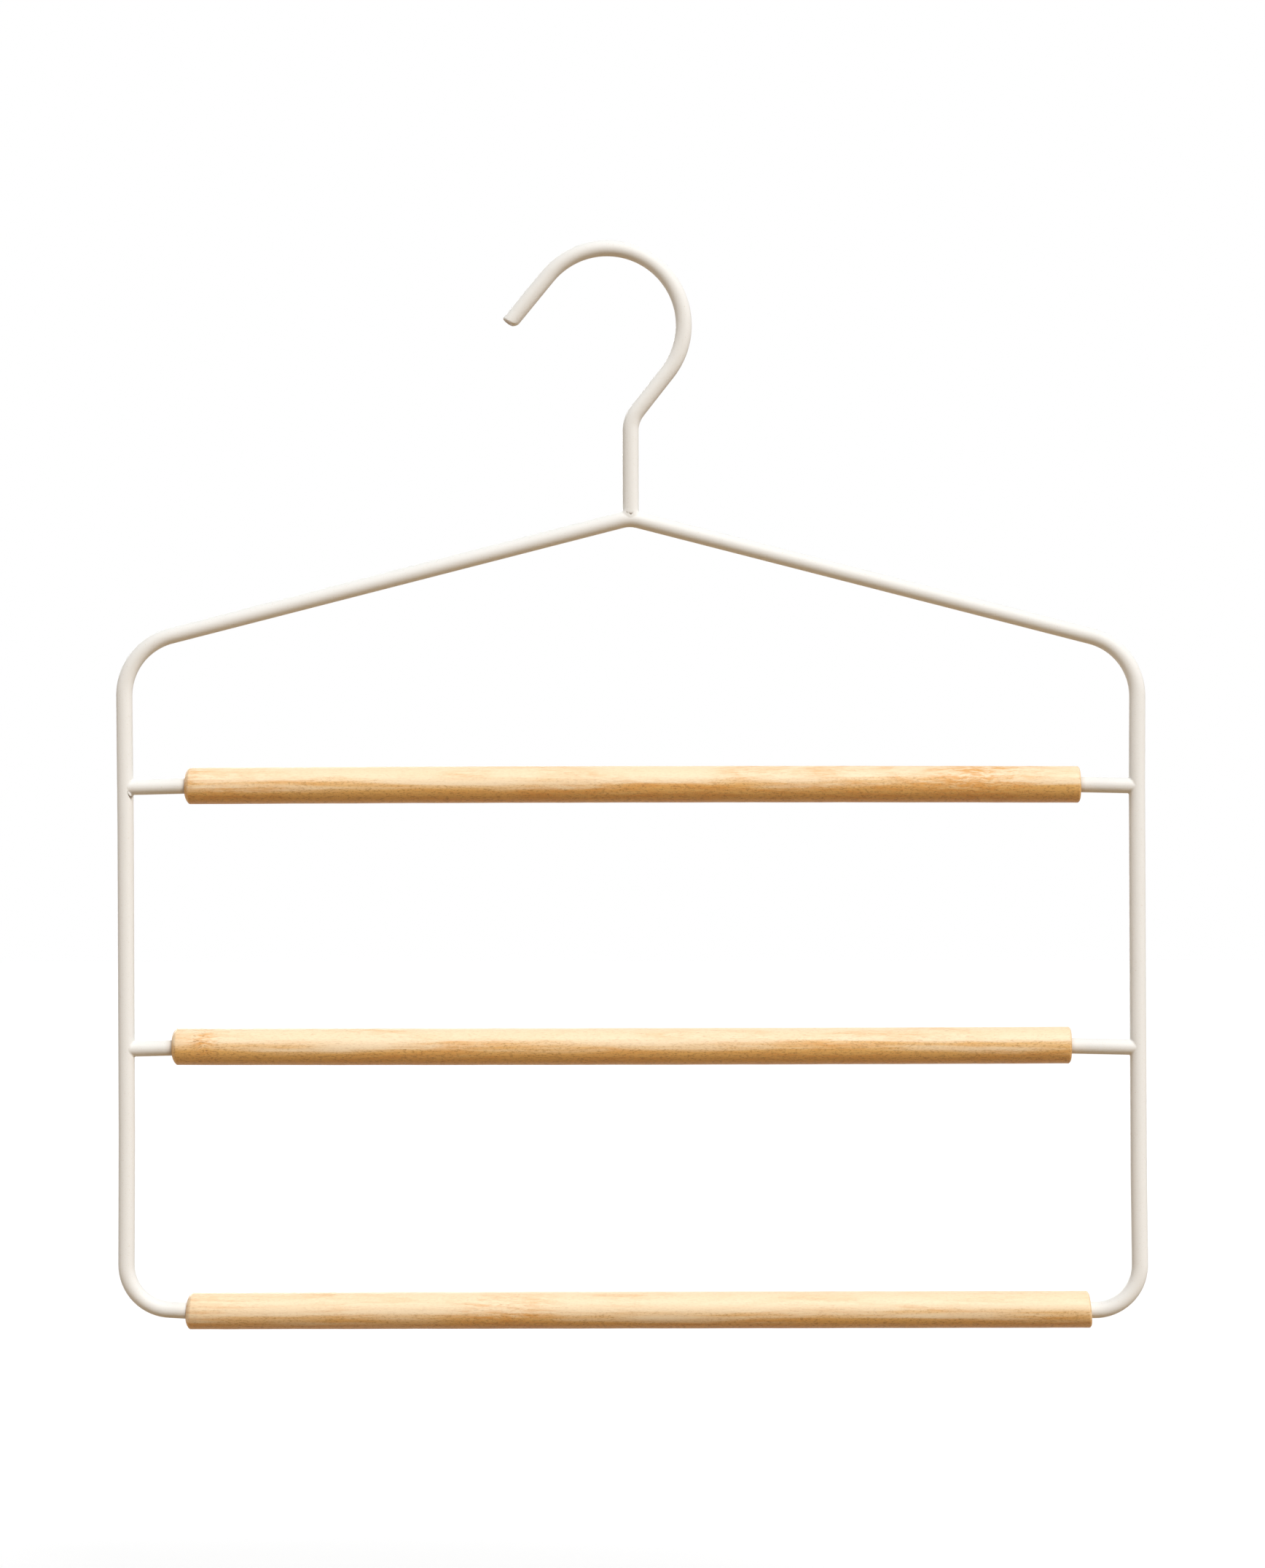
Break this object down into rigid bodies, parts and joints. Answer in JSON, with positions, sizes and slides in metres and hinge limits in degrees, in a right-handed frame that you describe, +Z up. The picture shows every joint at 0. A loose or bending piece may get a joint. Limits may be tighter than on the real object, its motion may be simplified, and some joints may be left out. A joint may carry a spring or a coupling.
{
  "type": "trouser hanger",
  "caption": "Flat hanger of bent painted wire with an open hook, and wooden bars that turn freely on wire pins, over which folded trousers hang.",
  "frame": {"origin": "the point inside the top of the hook that sits on the rail", "axes": "+Z up the hanger, +X along the bars to the right as seen from the front, with the hook's tip at -X, and +Y to the back"},
  "size_m": [0.35, 0.0126, 0.3703],
  "materials": {
    "ivory_powder_coat": "fine, sandy, satin powder coat in warm ivory",
    "pale_wood": "pale, fine-pored wood, sanded smooth and lightly oiled"
  },
  "bodies": {
    "frame": {"frame_wire": "ivory_powder_coat", "hook_wire": "ivory_powder_coat", "upper_left_pin": "ivory_powder_coat", "upper_right_pin": "ivory_powder_coat", "middle_left_pin": "ivory_powder_coat", "middle_right_pin": "ivory_powder_coat", "hook_weld": "ivory_powder_coat", "upper_left_weld": "ivory_powder_coat", "upper_right_weld": "ivory_powder_coat", "middle_left_weld": "ivory_powder_coat", "middle_right_weld": "ivory_powder_coat"},
    "upper_bar": {"upper_bar": "pale_wood"},
    "middle_bar": {"middle_bar": "pale_wood"},
    "bottom_bar": {"bottom_bar": "pale_wood"}
  },
  "joints": [
    {"name": "upper_bar_spin", "type": "hinge", "parent": "frame", "child": "upper_bar", "pos_m": [0.0088, 0, -0.1799], "axis": [1, 0, 0], "continuous": true},
    {"name": "middle_bar_spin", "type": "hinge", "parent": "frame", "child": "middle_bar", "pos_m": [0.0044, 0, -0.2689], "axis": [1, 0, 0], "continuous": true},
    {"name": "bottom_bar_spin", "type": "hinge", "parent": "frame", "child": "bottom_bar", "pos_m": [0.0099, 0, -0.3586], "axis": [1, 0, 0], "continuous": true}
  ]
}
